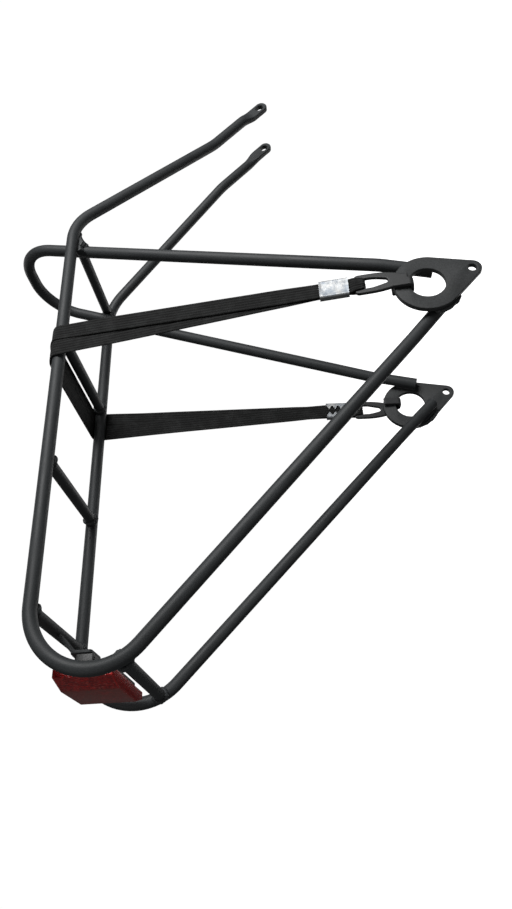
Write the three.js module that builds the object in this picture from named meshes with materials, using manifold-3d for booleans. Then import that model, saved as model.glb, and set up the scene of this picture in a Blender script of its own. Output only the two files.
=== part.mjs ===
// Rear rack for a bicycle: a welded frame of round steel tube on two dropout plates,
// with an elastic luggage strap hooked into the plates and a red reflector at the back.
//
// Millimetres. +X is the front of the bicycle, +Y its left, +Z up.
// The origin lies midway between the mounting holes of the two dropout plates.

import * as THREE from 'three';
import { mergeVertices } from 'three/addons/utils/BufferGeometryUtils.js';
import Module from 'manifold-3d';

const wasm = await Module();
wasm.setup();

const LEFT = 1;
const RIGHT = -1;
const GAP = 0.3; // between pieces that touch
const OVERLAP = 2; // by which two forms of one piece run into each other

// Frame
const TUBE_R = 5;
const CROSS_TUBE_R = 4.4;
const PLATFORM_Z = 322;
const RAIL_FRONT = { x: 120.8, y: 57.1 }; // where rail and front arm would meet without a bend
const RAIL_REAR = { x: -337.2, y: 53.1 }; // where rail and strut would meet without a bend
const ARM_KINK = { x: 245.3, y: 26.5, z: 200.9 };
const EYELET = { x: 296.7, y: 26.5, z: 152.1 }; // centre of the round end, on the tube's axis
const STRUT_SET = { x: -50.5, y: 70.1, z: 49.4 }; // the strut sets outwards here
const STRUT_END = { x: -14.5, y: 74.6, z: 15 };
const FRONT_BEND_R = 45;
const KINK_BEND_R = 60;
const REAR_LOOP_R = 44;
const STRUT_BEND_R = 60;

// Flattened end of each front arm, pressed towards the tube's inner side
const EYELET_THICK = 5.2;
const EYELET_WIDTH = 11.8;
const EYELET_FLAT = 14.5; // from the round end's centre back to where the press starts to open
const EYELET_RAMP = 15;
const TAB_SHIFT = TUBE_R - EYELET_THICK / 2; // the strip's middle, inwards from the tube's axis
const PRESS_TRIM = 0.5; // the pressed tube lies this much inside the flat tab's faces
const SLOT_WIDTH = 6.2;
const SLOT_LENGTH = 9;
const SLOT_BACK = 2.6; // from the round end's centre to the slot's centre

// Front hoop
const HOOP_END = { x: 7.8, y: 74.6, z: 27.2 };
const HOOP_SET = { x: 19.6, y: 74.6, z: 65.7 };
const HOOP_TOP = { x: 116.1, y: 39.5, z: 379.8 };
const HOOP_SET_R = 60;
const HOOP_TOP_R = 38;

// Cross tubes, by their place along the rails
const CROSS_TUBES = {
  front_cross_tube: 110.5,
  strap_cross_tube: -4,
  middle_cross_tube: -117.3,
  rear_cross_tube: -229.7,
};
const LOWER_CROSS_TUBE = { x: -266.6, z: 257.6 };

// Dropout plates
const PLATE_INNER_Y = 80;
const PLATE_THICK = 4;
const RING = { x: -10.3, z: 34.5, r: 25, hole: 13.5 };
const LUG = { r: 7, hole: 3.25 };

// Strap hooks, in the hook's own frame: z along the strap, y from the outer face inwards.
// Its origin lies in the middle of the steel, beside the rim of the ring.
const HOOK_THICK = 3;
const HOOK_CLEAR = 0.4; // between the hook and the plate that it lies on
const HOOK_X = { [RIGHT]: -7, [LEFT]: -10.5 };
const HOOK_CLAW = { outer: 9.9, inner: 7.3, bottom: -15, saddle: -12.4, tip: 1, from: -7, to: 0 };
const CLAW_BEND = { outer: 3.2, inner: 1.2 }; // radii where the claw turns under and up
const CLAW_REACH = 12.3; // from the hook's origin down to the edge that its claw holds
const TONGUE = { end: -11.2, right: 3.5, ease: { x: 5, z: -5 } };
const WAIST = { half: 7, ease: { x: 8.8, z: 7 } }; // at the hook's origin, widening upwards
const SHOULDER = { half: 9, z: 16, corner: 4 };
const BAR = { from: 23, to: 28.5 };
const FINGER_SLOT = { bottom: 3.5, narrow: 2.4, wide: 4.8, wideFrom: 14 }; // half widths

// Elastic strap and its ferrules, in the same frame
const WEB_THICK = 1.8;
const WEB_WIDTH = 14;
const PLY_GAP = 0.3; // between the two bands inside the ferrule
const FERRULE = { from: 32.6, to: 54.6, wall: 0.8, corner: 1.5 };
const TURN_CENTRE = 23.3;
const TURN_INNER_R = 1.8;
const TURN_HALF = 4.5; // bunched on the hook's bar
const STRAP_HALF_ON_RAIL = 14.6;
const STRAP_X_ON_RAIL = { [RIGHT]: -14.2, [LEFT]: -18.3 }; // on the outside of each rail
const STRAP_X_ON_PLATFORM = -19.2;

// Reflector
const LENS = { z: 288, height: 40, half: 40, flat: 21, front: -266, edge: -271.5, rear: -276.5 };
const HOUSING = { front: -260, inset: 4.5 };
const BOSS = { z: 296.75, half: 12, height: 12.5, front: -249 };
const BRACKET = { thick: 2.5, half: 12, neckHalf: 6, bottom: 292, bend: 307.5, corner: 2.5 };
const SCREW = { z: 301, shankR: 2, depth: 7, headR: 3.6, headThick: 2.2, dome: 0.8 };
const WASHER = { r: 4.4, thick: 0.6 };

const BLACK = { color: 0x1b1c1d, roughness: 0.45, metalness: 0.35 };
const finishes = {
  frame: BLACK,
  plate: { color: 0x1d1f20, roughness: 0.5, metalness: 0.35 },
  hook: { color: 0x202122, roughness: 0.5, metalness: 0.3 },
  webbing: { color: 0x0f1010, roughness: 0.9, metalness: 0 },
  zinc: { color: 0xc9cdd0, roughness: 0.3, metalness: 1 },
  fastener: { color: 0x17181a, roughness: 0.4, metalness: 0.7 },
  lens: { color: 0x8c0f12, roughness: 0.15, metalness: 0 },
  plastic: { color: 0x141415, roughness: 0.55, metalness: 0 },
};

function vector({ x, y, z }, side = 1) {
  return new THREE.Vector3(x, side * y, z);
}

// A path of straight runs with round bends. Its stations lie where a run starts or ends
// and evenly round each bend, so a tube along it has no needless rings.
class BentPath extends THREE.Curve {
  constructor(corners) {
    super();
    this.stations = [];
    corners.forEach((corner, i) => this.addCorner(corners[i - 1], corner, corners[i + 1]));
  }

  addCorner(before, corner, after) {
    const inward = before && corner.at.clone().sub(before.at).normalize();
    const outward = after && after.at.clone().sub(corner.at).normalize();
    if (!corner.radius) {
      this.stations.push({ point: corner.at, tangent: outward ?? inward });
      return;
    }
    const angle = inward.angleTo(outward);
    const reach = corner.radius * Math.tan(angle / 2);
    const start = corner.at.clone().addScaledVector(inward, -reach);
    const axis = inward.clone().cross(outward).normalize();
    const spoke = axis.clone().cross(inward).multiplyScalar(corner.radius);
    const centre = start.clone().add(spoke);
    const steps = Math.max(2, Math.ceil(angle / corner.step));
    for (let i = 0; i <= steps; i += 1) {
      const turn = (angle * i) / steps;
      const point = spoke.clone().negate().applyAxisAngle(axis, turn).add(centre);
      this.stations.push({ point, tangent: inward.clone().applyAxisAngle(axis, turn) });
    }
  }

  get steps() {
    return this.stations.length - 1;
  }

  station(u) {
    return this.stations[Math.round(u * this.steps)];
  }

  getPoint(u) {
    return this.station(u).point.clone();
  }

  getPointAt(u) {
    return this.getPoint(u);
  }

  getTangentAt(u) {
    return this.station(u).tangent.clone();
  }
}

const BEND_STEP = THREE.MathUtils.degToRad(9);

function bend(at, radius) {
  return { at, radius, step: BEND_STEP };
}

function tube(path, radius, sides) {
  const section = new THREE.Shape().absarc(0, 0, radius, 0, 2 * Math.PI);
  return new THREE.ExtrudeGeometry(section, {
    extrudePath: path,
    steps: path.steps,
    curveSegments: sides / 2,
    bevelEnabled: false,
  });
}

function extrude(shape, depth, curveSegments = 12) {
  return new THREE.ExtrudeGeometry(shape, { depth, curveSegments, bevelEnabled: false });
}

function welded(geometry) {
  const bare = geometry.clone();
  bare.deleteAttribute('normal');
  bare.deleteAttribute('uv');
  return mergeVertices(bare, 1e-3);
}

function toSolid(geometry) {
  const { attributes, index } = welded(geometry);
  const vertProperties = new Float32Array(attributes.position.array);
  const triVerts = new Uint32Array(index.array);
  return new wasm.Manifold(new wasm.Mesh({ numProp: 3, vertProperties, triVerts }));
}

function toGeometry(solid) {
  const mesh = solid.getMesh();
  const geometry = new THREE.BufferGeometry();
  geometry.setAttribute('position', new THREE.BufferAttribute(mesh.vertProperties, 3));
  geometry.setIndex(new THREE.BufferAttribute(mesh.triVerts, 1));
  return geometry;
}

function join(...geometries) {
  const solids = geometries.map(toSolid);
  return toGeometry(solids.reduce((all, next) => all.add(next)));
}

function cut(geometry, ...tools) {
  const body = toSolid(geometry);
  return toGeometry(tools.map(toSolid).reduce((left, tool) => left.subtract(tool), body));
}

// Points along an outline in the XZ plane, extruded along Y from y to y + depth
function plateInXZ(shape, y, depth, curveSegments) {
  const geometry = extrude(shape, depth, curveSegments);
  geometry.rotateX(Math.PI / 2);
  geometry.translate(0, y + depth, 0);
  return geometry;
}

// An outline given in the YZ plane, extruded along X from x to x + depth
function plateInYZ(shape, x, depth, curveSegments) {
  const geometry = extrude(shape, depth, curveSegments);
  geometry.applyMatrix4(new THREE.Matrix4().makeBasis(
    new THREE.Vector3(0, 1, 0),
    new THREE.Vector3(0, 0, 1),
    new THREE.Vector3(1, 0, 0),
  ));
  geometry.translate(x, 0, 0);
  return geometry;
}

function moveVertices(geometry, move) {
  const position = geometry.attributes.position;
  const point = new THREE.Vector3();
  for (let i = 0; i < position.count; i += 1) {
    move(point.fromBufferAttribute(position, i));
    position.setXYZ(i, point.x, point.y, point.z);
  }
  return geometry;
}

function stadium(length, width) {
  const r = width / 2;
  const end = length / 2 - r;
  return new THREE.Shape()
    .absarc(end, 0, r, -Math.PI / 2, Math.PI / 2)
    .absarc(-end, 0, r, Math.PI / 2, 1.5 * Math.PI);
}

// ---- Side tubes -------------------------------------------------------------------

const eyeletForward = vector(EYELET).sub(vector(ARM_KINK)).normalize();
const eyeletAcross = new THREE.Vector3(-eyeletForward.z, 0, eyeletForward.x);

function railY(x) {
  const share = (RAIL_FRONT.x - x) / (RAIL_FRONT.x - RAIL_REAR.x);
  return THREE.MathUtils.lerp(RAIL_FRONT.y, RAIL_REAR.y, share);
}

function sideTubePath(side) {
  const eyelet = vector(EYELET, side);
  const rampSteps = 6;
  const ramp = [];
  for (let i = 0; i <= rampSteps; i += 1) {
    const back = EYELET_FLAT + (EYELET_RAMP * i) / rampSteps;
    ramp.push({ at: eyelet.clone().addScaledVector(eyeletForward, -back) });
  }
  return new BentPath([
    { at: eyelet },
    ...ramp,
    bend(vector(ARM_KINK, side), KINK_BEND_R),
    bend(vector({ ...RAIL_FRONT, z: PLATFORM_Z }, side), FRONT_BEND_R),
    bend(vector({ ...RAIL_REAR, z: PLATFORM_Z }, side), REAR_LOOP_R),
    bend(vector(STRUT_SET, side), STRUT_BEND_R),
    { at: vector(STRUT_END, side) },
  ]);
}

// Presses the last stretch of the arm from a round tube into an oval strip
function pressEyeletEnd(geometry, side) {
  const eyelet = vector(EYELET, side);
  return moveVertices(geometry, (point) => {
    const arm = point.clone().sub(eyelet);
    const back = -arm.dot(eyeletForward);
    if (back > EYELET_FLAT + EYELET_RAMP + 1) return;
    const pressed = 1 - THREE.MathUtils.smoothstep(back, EYELET_FLAT, EYELET_FLAT + EYELET_RAMP);
    const width = THREE.MathUtils.lerp(1, (EYELET_WIDTH - PRESS_TRIM) / (2 * TUBE_R), pressed) - 1;
    const thickness = THREE.MathUtils.lerp(1, (EYELET_THICK - PRESS_TRIM) / (2 * TUBE_R), pressed) - 1;
    point.addScaledVector(eyeletAcross, arm.dot(eyeletAcross) * width);
    point.y += arm.y * thickness - side * TAB_SHIFT * pressed;
  });
}

function eyeletTool(shape, thickness, side, back) {
  const geometry = extrude(shape, thickness, 8);
  geometry.translate(-back, 0, -thickness / 2);
  const outward = eyeletForward.clone().cross(eyeletAcross);
  geometry.applyMatrix4(new THREE.Matrix4().makeBasis(eyeletForward, eyeletAcross, outward));
  geometry.translate(EYELET.x, side * (EYELET.y - TAB_SHIFT), EYELET.z);
  return geometry;
}

function sideTube(side) {
  const bent = pressEyeletEnd(tube(sideTubePath(side), TUBE_R, 20), side);
  const tabLength = EYELET_FLAT + EYELET_WIDTH / 2;
  const tabBack = (EYELET_FLAT - EYELET_WIDTH / 2) / 2;
  const tab = eyeletTool(stadium(tabLength, EYELET_WIDTH), EYELET_THICK, side, tabBack);
  const slot = eyeletTool(stadium(SLOT_LENGTH, SLOT_WIDTH), 4 * TUBE_R, side, SLOT_BACK);
  return cut(join(bent, tab), slot);
}

// ---- Front hoop -------------------------------------------------------------------

function frontHoop() {
  return tube(new BentPath([
    { at: vector(HOOP_END, RIGHT) },
    bend(vector(HOOP_SET, RIGHT), HOOP_SET_R),
    bend(vector(HOOP_TOP, RIGHT), HOOP_TOP_R),
    bend(vector(HOOP_TOP, LEFT), HOOP_TOP_R),
    bend(vector(HOOP_SET, LEFT), HOOP_SET_R),
    { at: vector(HOOP_END, LEFT) },
  ]), TUBE_R, 20);
}

// ---- Cross tubes, coped to fit round the side tubes ---------------------------------

const sideTubeTools = [LEFT, RIGHT].map((side) => tube(sideTubePath(side), TUBE_R + GAP, 20));

function crossTube(x, z) {
  const length = 2 * railY(x);
  const rod = new THREE.CylinderGeometry(CROSS_TUBE_R, CROSS_TUBE_R, length, 16);
  rod.translate(x, 0, z);
  return cut(rod, ...sideTubeTools);
}

// ---- Dropout plates -----------------------------------------------------------------

function dropoutPlate(side) {
  const towardsLug = Math.atan2(-RING.z, -RING.x);
  const spread = Math.acos((RING.r - LUG.r) / Math.hypot(RING.x, RING.z));
  const outline = new THREE.Shape()
    .absarc(0, 0, LUG.r, towardsLug - spread, towardsLug + spread)
    .absarc(RING.x, RING.z, RING.r, towardsLug + spread, towardsLug - spread + 2 * Math.PI);
  outline.holes.push(new THREE.Path().absarc(RING.x, RING.z, RING.hole, 0, 2 * Math.PI, true));
  outline.holes.push(new THREE.Path().absarc(0, 0, LUG.hole, 0, 2 * Math.PI, true));
  const lowY = side === LEFT ? PLATE_INNER_Y : -PLATE_INNER_Y - PLATE_THICK;
  return plateInXZ(outline, lowY, PLATE_THICK, 20);
}

// ---- Hooks --------------------------------------------------------------------------

const hookMiddleY = PLATE_INNER_Y + PLATE_THICK + HOOK_CLEAR + HOOK_THICK / 2;

// Height of the hook's origin with its claw pulled up against the edge of the ring's hole
function hookOriginZ(side) {
  const clawSides = [HOOK_CLAW.from, HOOK_CLAW.to].map((x) => HOOK_X[side] - side * x - RING.x);
  const offCentre = Math.max(...clawSides.map(Math.abs));
  return RING.z + Math.sqrt(RING.hole ** 2 - offCentre ** 2) + CLAW_REACH;
}

// Where the strap, coming up from the hook, first touches the rail, and the lean this gives it
const wrapR = TUBE_R + GAP + WEB_THICK / 2;
const railYAtStrap = railY(STRAP_X_ON_RAIL[RIGHT]);
const hookZ = hookOriginZ(RIGHT);
const strapRun = new THREE.Vector2(hookMiddleY - railYAtStrap, hookZ - PLATFORM_Z);
const tangentAngle = strapRun.angle() - 2 * Math.PI + Math.acos(wrapR / strapRun.length());
const tangentPoint = new THREE.Vector2(Math.cos(tangentAngle), Math.sin(tangentAngle))
  .multiplyScalar(wrapR);
const strapLean = Math.atan2(
  hookMiddleY - railYAtStrap - tangentPoint.x,
  PLATFORM_Z + tangentPoint.y - hookZ,
);

function hookOutline() {
  const { half, z, corner } = SHOULDER;
  const outline = new THREE.Shape()
    .moveTo(HOOK_CLAW.from, TONGUE.end)
    .lineTo(TONGUE.right, TONGUE.end)
    .quadraticCurveTo(TONGUE.ease.x, TONGUE.ease.z, WAIST.half, 0)
    .quadraticCurveTo(WAIST.ease.x, WAIST.ease.z, half, z)
    .lineTo(half, BAR.to - corner)
    .quadraticCurveTo(half, BAR.to, half - corner, BAR.to)
    .lineTo(corner - half, BAR.to)
    .quadraticCurveTo(-half, BAR.to, -half, BAR.to - corner)
    .lineTo(-half, z)
    .quadraticCurveTo(-WAIST.ease.x, WAIST.ease.z, -WAIST.half, 0);
  outline.closePath();
  outline.holes.push(fingerSlot());
  return outline;
}

function fingerSlot() {
  const { bottom, narrow, wide, wideFrom } = FINGER_SLOT;
  return new THREE.Path()
    .absarc(0, bottom + narrow, narrow, Math.PI, 2 * Math.PI)
    .lineTo(wide, wideFrom)
    .lineTo(wide, BAR.from)
    .lineTo(-wide, BAR.from)
    .lineTo(-wide, wideFrom)
    .closePath();
}

function hookClaw() {
  const { outer, inner, bottom, saddle, tip } = HOOK_CLAW;
  const { outer: bigR, inner: smallR } = CLAW_BEND;
  const face = HOOK_THICK / 2;
  const tipR = (outer - inner) / 2;
  const root = TONGUE.end + OVERLAP;
  const profile = new THREE.Shape()
    .moveTo(-face, root)
    .absarc(bigR - face, bottom + bigR, bigR, Math.PI, 1.5 * Math.PI)
    .absarc(outer - bigR, bottom + bigR, bigR, 1.5 * Math.PI, 2 * Math.PI)
    .absarc(outer - tipR, tip, tipR, 0, Math.PI)
    .absarc(inner - smallR, saddle + smallR, smallR, 0, -Math.PI / 2, true)
    .absarc(face + smallR, saddle + smallR, smallR, -Math.PI / 2, -Math.PI, true)
    .lineTo(face, root)
    .closePath();
  return plateInYZ(profile, HOOK_CLAW.from, HOOK_CLAW.to - HOOK_CLAW.from, 8);
}

function hook() {
  const tongue = plateInXZ(hookOutline(), -HOOK_THICK / 2, HOOK_THICK, 8);
  return join(tongue, hookClaw());
}

// ---- Ferrules and the turn of the webbing on the hook's bar ---------------------------

function ferrule() {
  const stack = WEB_THICK + PLY_GAP / 2 + GAP;
  const half = WEB_WIDTH / 2 + GAP;
  const { wall, corner } = FERRULE;
  const sleeve = roundedRectangle(new THREE.Shape(), half + wall, stack + wall, corner);
  sleeve.holes.push(roundedRectangle(new THREE.Path(), half, stack, corner - wall));
  const geometry = extrude(sleeve, FERRULE.to - FERRULE.from, 4);
  geometry.translate(0, 0, FERRULE.from);
  return geometry;
}

function roundedRectangle(path, halfWidth, halfHeight, r) {
  const quarter = Math.PI / 2;
  return path
    .absarc(halfWidth - r, halfHeight - r, r, 0, quarter)
    .absarc(r - halfWidth, halfHeight - r, r, quarter, 2 * quarter)
    .absarc(r - halfWidth, r - halfHeight, r, 2 * quarter, 3 * quarter)
    .absarc(halfWidth - r, r - halfHeight, r, 3 * quarter, 4 * quarter);
}

function strapTurn() {
  const innerPly = PLY_GAP / 2;
  const outerPly = innerPly + WEB_THICK;
  const outerR = TURN_INNER_R + WEB_THICK;
  const aboveBar = BAR.to + 0.4;
  const entry = FERRULE.from - 0.2;
  const end = (FERRULE.from + FERRULE.to) / 2 - GAP;
  const profile = new THREE.Shape()
    .moveTo(-outerPly, end)
    .lineTo(-outerPly, entry)
    .lineTo(-outerR, aboveBar)
    .absarc(0, TURN_CENTRE, outerR, Math.PI, 2 * Math.PI)
    .lineTo(outerR, aboveBar)
    .lineTo(outerPly, entry)
    .lineTo(outerPly, end)
    .lineTo(innerPly, end)
    .lineTo(innerPly, entry)
    .lineTo(TURN_INNER_R, aboveBar)
    .absarc(0, TURN_CENTRE, TURN_INNER_R, 0, -Math.PI, true)
    .lineTo(-TURN_INNER_R, aboveBar)
    .lineTo(-innerPly, entry)
    .lineTo(-innerPly, end)
    .closePath();
  return moveVertices(plateInYZ(profile, -0.5, 1, 6), (point) => {
    const spread = THREE.MathUtils.smoothstep(point.z, TURN_CENTRE, entry);
    point.x *= 2 * THREE.MathUtils.lerp(TURN_HALF, WEB_WIDTH / 2, spread);
  });
}

// ---- Elastic strap --------------------------------------------------------------------

const strapStart = (FERRULE.from + FERRULE.to) / 2 + GAP; // inside the ferrule
const strapExit = FERRULE.to + 1;

// A point on the middle line of the strap's run on one side, by its distance up from the hook
function strapPoint(up, side) {
  const y = hookMiddleY - up * Math.sin(strapLean);
  return vector({ x: 0, y, z: hookZ + up * Math.cos(strapLean) }, side);
}

// One wide band: up out of one ferrule, over both rails and down into the other
function strapPath() {
  const corner = (PLATFORM_Z + wrapR - hookZ) / Math.cos(strapLean);
  return new BentPath([
    { at: strapPoint(strapStart, RIGHT) },
    { at: strapPoint(strapExit, RIGHT) },
    bend(strapPoint(corner, RIGHT), wrapR),
    bend(strapPoint(corner, LEFT), wrapR),
    { at: strapPoint(strapExit, LEFT) },
    { at: strapPoint(strapStart, LEFT) },
  ]);
}

function strapMiddleX(y, height) {
  const side = y > 0 ? LEFT : RIGHT;
  const outside = THREE.MathUtils.clamp((Math.abs(y) - railYAtStrap) / wrapR, 0, 1);
  const onTop = THREE.MathUtils.lerp(STRAP_X_ON_PLATFORM, STRAP_X_ON_RAIL[side], outside);
  return THREE.MathUtils.lerp(HOOK_X[side], onTop, height);
}

// The two plies lie on each other in the ferrules and side by side on the rails
function elasticStrap() {
  const half = WEB_THICK / 2;
  const section = new THREE.Shape()
    .moveTo(-0.5, -half)
    .lineTo(0.5, -half)
    .lineTo(0.5, half)
    .lineTo(-0.5, half)
    .closePath();
  const path = strapPath();
  const band = new THREE.ExtrudeGeometry(section, {
    extrudePath: path,
    steps: path.steps,
    bevelEnabled: false,
  });
  const lowest = strapPoint(strapExit, LEFT).z + 1;
  const stacking = (WEB_THICK + PLY_GAP / 2) / half - 1;
  return moveVertices(band, (point) => {
    const side = point.y > 0 ? LEFT : RIGHT;
    const height = THREE.MathUtils.smoothstep(point.z, lowest, PLATFORM_Z - 2);
    const outward = vector({ x: 0, y: Math.cos(strapLean), z: Math.sin(strapLean) }, side);
    const out = point.clone().sub(strapPoint(0, side)).dot(outward);
    point.addScaledVector(outward, out * stacking * (1 - height));
    const width = 2 * THREE.MathUtils.lerp(WEB_WIDTH / 2, STRAP_HALF_ON_RAIL, height);
    point.x = point.x * width + strapMiddleX(point.y, height);
  });
}

// ---- Reflector --------------------------------------------------------------------------

function reflectorLens() {
  const { z, height, half, flat, front, edge, rear } = LENS;
  const plan = new THREE.Shape()
    .moveTo(front, -half)
    .lineTo(front, half)
    .lineTo(edge, half)
    .lineTo(rear, flat)
    .lineTo(rear, -flat)
    .lineTo(edge, -half)
    .closePath();
  const geometry = extrude(plan, height);
  geometry.translate(0, 0, z - height / 2);
  return geometry;
}

function reflectorHousing() {
  const back = LENS.front + GAP;
  const width = 2 * (LENS.half - HOUSING.inset);
  const shell = new THREE.BoxGeometry(HOUSING.front - back, width, LENS.height - 2 * HOUSING.inset);
  shell.translate((HOUSING.front + back) / 2, 0, LENS.z);
  const bossDepth = BOSS.front - HOUSING.front + OVERLAP;
  const boss = new THREE.BoxGeometry(bossDepth, 2 * BOSS.half, BOSS.height);
  boss.translate(BOSS.front - bossDepth / 2, 0, BOSS.z);
  return cut(join(shell, boss), alongX(SCREW.shankR + GAP, screwEnd - GAP, BOSS.front + OVERLAP));
}

const bracketBack = BOSS.front + GAP;
const bracketFront = bracketBack + BRACKET.thick;
const washerBack = bracketFront + GAP;
const headBack = washerBack + WASHER.thick + GAP;
const screwEnd = BOSS.front - SCREW.depth;

function alongX(r, from, to, endR = r) {
  const geometry = new THREE.CylinderGeometry(r, endR, to - from, 20);
  geometry.rotateZ(Math.PI / 2);
  geometry.translate((from + to) / 2, 0, SCREW.z);
  return geometry;
}

// A flat plate against the reflector's boss, whose narrow neck leans forward to the cross tube
function reflectorBracket() {
  const { thick, half, neckHalf, bottom, bend: top, corner } = BRACKET;
  const middle = new THREE.Vector2((bracketBack + bracketFront) / 2, top - thick / 2);
  const up = new THREE.Vector2(CROSS_TUBES.rear_cross_tube, PLATFORM_Z).sub(middle);
  const reach = up.length() - CROSS_TUBE_R - GAP;
  const neck = new THREE.BoxGeometry(reach, 2 * neckHalf, thick);
  neck.translate(reach / 2, 0, 0);
  neck.rotateY(-up.angle());
  neck.translate(middle.x, 0, middle.y);
  const outline = roundedRectangle(new THREE.Shape(), half, (top - bottom) / 2, corner);
  const face = plateInYZ(outline, bracketBack, thick, 4);
  face.translate(0, 0, (top + bottom) / 2);
  const hole = alongX(SCREW.shankR + GAP, bracketBack - 1, bracketFront + 1);
  return cut(join(face, neck), hole);
}

function reflectorScrew() {
  const { shankR, headR, headThick, dome } = SCREW;
  const shank = alongX(shankR, screwEnd, headBack + headThick / 2);
  const head = alongX(headR, headBack, headBack + headThick - dome);
  const crown = alongX(headR - dome, headBack + headThick - dome, headBack + headThick, headR);
  return join(shank, head, crown);
}

function reflectorWasher() {
  const hole = alongX(SCREW.shankR + GAP, washerBack - 1, washerBack + WASHER.thick + 1);
  return cut(alongX(WASHER.r, washerBack, washerBack + WASHER.thick), hole);
}

// ---- Assembly -----------------------------------------------------------------------------

const rack = new THREE.Group();

function add(parent, name, finish, geometry) {
  const closed = geometry.index && !geometry.attributes.normal ? geometry : welded(geometry);
  const mesh = new THREE.Mesh(closed, new THREE.MeshStandardMaterial(finishes[finish]));
  mesh.name = name;
  parent.add(mesh);
}

// Both hooks are the same part: the left one is turned half round to face outwards
function hookSet(name, side) {
  const turned = new THREE.Group();
  turned.rotation.z = side === LEFT ? Math.PI : 0;
  const set = new THREE.Group();
  set.position.set(-side * HOOK_X[side], -hookMiddleY, hookOriginZ(side));
  set.rotation.x = -strapLean;
  add(set, `${name}_hook`, 'hook', hook());
  add(set, `${name}_ferrule`, 'zinc', ferrule());
  add(set, `${name}_strap_turn`, 'webbing', strapTurn());
  turned.add(set);
  return turned;
}

add(rack, 'right_side_tube', 'frame', sideTube(RIGHT));
add(rack, 'left_side_tube', 'frame', sideTube(LEFT));
add(rack, 'front_hoop', 'frame', frontHoop());
Object.entries(CROSS_TUBES).forEach(([name, x]) => {
  add(rack, name, 'frame', crossTube(x, PLATFORM_Z));
});
add(rack, 'lower_rear_cross_tube', 'frame', crossTube(LOWER_CROSS_TUBE.x, LOWER_CROSS_TUBE.z));
add(rack, 'right_dropout_plate', 'plate', dropoutPlate(RIGHT));
add(rack, 'left_dropout_plate', 'plate', dropoutPlate(LEFT));
add(rack, 'elastic_strap', 'webbing', elasticStrap());
rack.add(hookSet('right', RIGHT), hookSet('left', LEFT));
add(rack, 'reflector_bracket', 'frame', reflectorBracket());
add(rack, 'reflector_housing', 'plastic', reflectorHousing());
add(rack, 'reflector_lens', 'lens', reflectorLens());
add(rack, 'reflector_screw', 'fastener', reflectorScrew());
add(rack, 'reflector_washer', 'fastener', reflectorWasher());

export default rack;
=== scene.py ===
import math

import bmesh
import bpy
import numpy as np
from mathutils import Matrix, Vector, geometry, noise

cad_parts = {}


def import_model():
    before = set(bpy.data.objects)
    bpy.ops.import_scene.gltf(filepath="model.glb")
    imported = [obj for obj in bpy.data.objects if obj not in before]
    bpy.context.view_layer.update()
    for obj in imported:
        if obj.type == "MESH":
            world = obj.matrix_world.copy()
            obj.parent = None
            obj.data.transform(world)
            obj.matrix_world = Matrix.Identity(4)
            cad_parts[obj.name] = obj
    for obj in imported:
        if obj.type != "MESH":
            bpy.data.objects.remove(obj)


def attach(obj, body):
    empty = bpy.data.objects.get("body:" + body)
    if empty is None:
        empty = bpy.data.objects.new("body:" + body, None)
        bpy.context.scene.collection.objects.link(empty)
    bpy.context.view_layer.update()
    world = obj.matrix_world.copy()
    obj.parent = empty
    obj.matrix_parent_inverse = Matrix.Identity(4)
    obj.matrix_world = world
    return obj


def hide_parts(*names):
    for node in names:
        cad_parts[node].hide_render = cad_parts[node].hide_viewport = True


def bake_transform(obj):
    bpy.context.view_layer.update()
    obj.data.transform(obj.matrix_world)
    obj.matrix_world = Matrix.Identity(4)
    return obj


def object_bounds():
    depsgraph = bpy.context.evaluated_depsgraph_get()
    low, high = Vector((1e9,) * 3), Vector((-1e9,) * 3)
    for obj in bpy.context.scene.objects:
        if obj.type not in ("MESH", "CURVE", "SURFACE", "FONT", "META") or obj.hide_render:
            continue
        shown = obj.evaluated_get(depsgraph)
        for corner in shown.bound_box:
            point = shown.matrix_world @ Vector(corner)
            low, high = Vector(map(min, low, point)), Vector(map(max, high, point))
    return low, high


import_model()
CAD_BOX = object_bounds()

# Rear rack for a bicycle. Metres, +X forwards, +Y to the bicycle's left, +Z up.
# The main sizes are those of the CAD model.

MM = 0.001
LEFT = 1
RIGHT = -1
SIDE_NAMES = {RIGHT: "right", LEFT: "left"}
X_AXIS = Vector((1, 0, 0))
Y_AXIS = Vector((0, 1, 0))


def mm(x, y, z):
    return Vector((x, y, z)) * MM


# Frame tubes
TUBE_R = 5 * MM
CROSS_TUBE_R = 4.4 * MM
TUBE_WALL = 1.2 * MM
OPEN_END_DEPTH = 9 * MM
PLATFORM_Z = 322 * MM
RAIL_FRONT = mm(120.8, 57.1, 322)
RAIL_REAR = mm(-337.2, 53.1, 322)
ARM_KINK = mm(245.3, 26.5, 200.9)
EYELET = mm(296.7, 26.5, 152.1)
STRUT_SET = mm(-50.5, 70.1, 49.4)
STRUT_END = mm(-14.5, 74.6, 15)
FRONT_BEND_R = 45 * MM
KINK_BEND_R = 60 * MM
REAR_LOOP_R = 44 * MM
STRUT_BEND_R = 60 * MM
HOOP_END = mm(7.8, 74.6, 27.2)
HOOP_SET = mm(19.6, 74.6, 65.7)
HOOP_TOP = mm(116.1, 39.5, 379.8)
HOOP_SET_R = 60 * MM
HOOP_TOP_R = 38 * MM
CROSS_TUBES = {
    "front_cross_tube": (110.5 * MM, PLATFORM_Z),
    "strap_cross_tube": (-4 * MM, PLATFORM_Z),
    "middle_cross_tube": (-117.3 * MM, PLATFORM_Z),
    "rear_cross_tube": (-229.7 * MM, PLATFORM_Z),
    "lower_rear_cross_tube": (-266.6 * MM, 257.6 * MM),
}

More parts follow.
